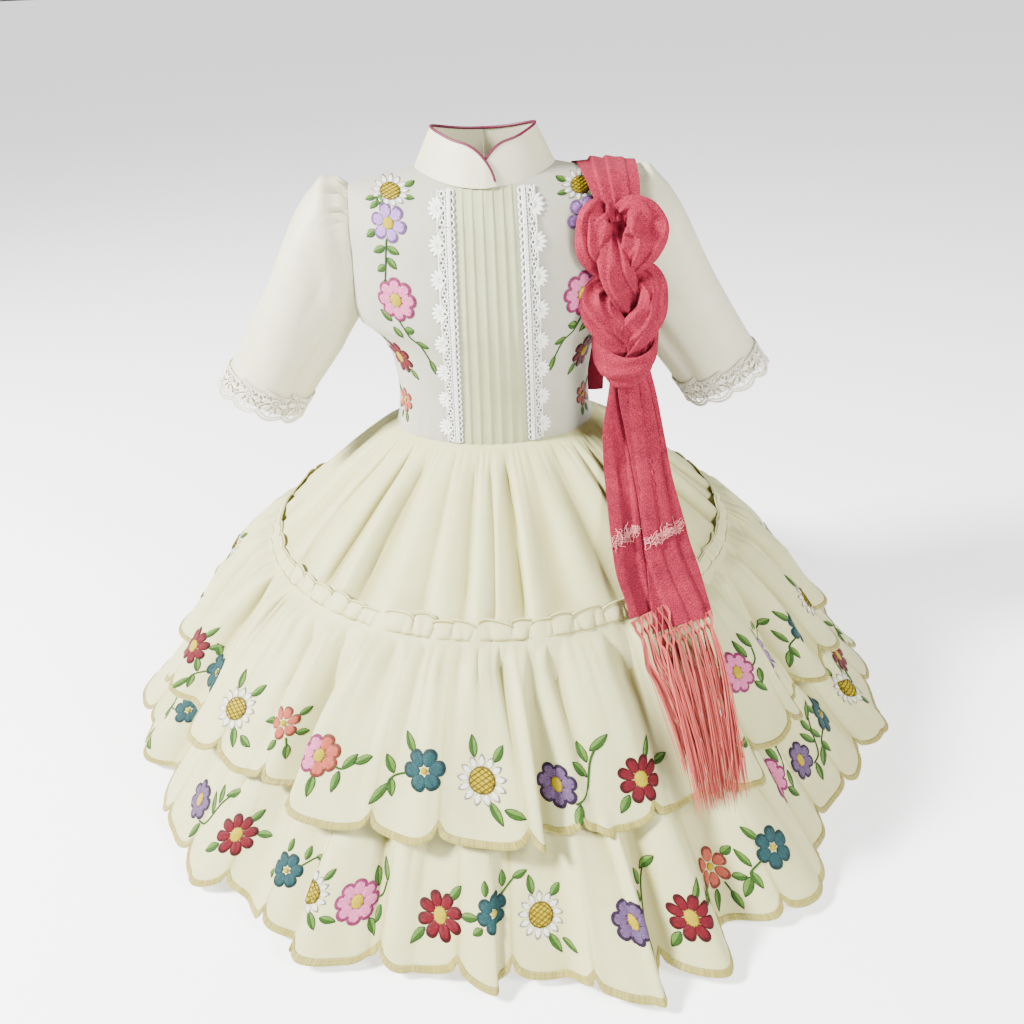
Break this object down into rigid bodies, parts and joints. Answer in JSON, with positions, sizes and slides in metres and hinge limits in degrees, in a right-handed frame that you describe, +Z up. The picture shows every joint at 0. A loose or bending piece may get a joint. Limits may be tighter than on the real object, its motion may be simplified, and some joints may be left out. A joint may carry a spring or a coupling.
{
  "type": "escaramuza dress with rebozo",
  "caption": "Child's riding dress with stand collar, lace, short sleeves, gathered skirt, scalloped embroidered flounces and a plaited, fringed rebozo over one shoulder.",
  "frame": {"origin": "middle of the neck hole at the height of the shoulder neck points, where the wearer's shoulders carry the dress", "axes": "+Z up along the wearer's spine, the dress's front faces -Y, +X to the wearer's left"},
  "size_m": [0.8736, 0.9169, 0.6354],
  "materials": {
    "cream_satin": "matt satin-back crepe in warm cream",
    "tucked_panel": "pin-tucked cream crepe, a shade darker",
    "guipure_lace": "white and ecru corded lace",
    "rose_piping": "dark rose satin piping",
    "coral_rebozo": "plain-woven coral shawl cloth",
    "rebozo_fringe": "loose coral and pink silky fringe"
  },
  "bodies": {
    "root": {"bodice_front_centre": "tucked_panel", "bodice_front_left": "cream_satin", "bodice_front_right": "cream_satin", "bodice_back_left": "cream_satin", "bodice_back_right": "cream_satin", "lace_strip_left": "guipure_lace", "lace_strip_right": "guipure_lace", "collar_left": "cream_satin", "collar_right": "cream_satin", "collar_piping_left": "rose_piping", "collar_piping_right": "rose_piping", "sleeve_left": "cream_satin", "sleeve_right": "cream_satin", "cuff_lace_left": "guipure_lace", "cuff_lace_right": "guipure_lace", "skirt_front": "cream_satin", "skirt_back": "cream_satin", "upper_flounce_heading_front": "cream_satin", "upper_flounce_heading_back": "cream_satin", "upper_flounce_front": "cream_satin", "upper_flounce_back": "cream_satin", "lower_flounce_front": "cream_satin", "lower_flounce_back": "cream_satin", "rebozo_over_shoulder": "coral_rebozo", "rebozo_back": "coral_rebozo", "rebozo_plait_strand_a": "coral_rebozo", "rebozo_plait_strand_b": "coral_rebozo", "rebozo_plait_strand_c": "coral_rebozo", "rebozo_wrap": "coral_rebozo", "rebozo_end_under": "coral_rebozo", "rebozo_end_over": "coral_rebozo", "rebozo_fringe_under": "rebozo_fringe", "rebozo_fringe_over": "rebozo_fringe"}
  },
  "joints": []
}
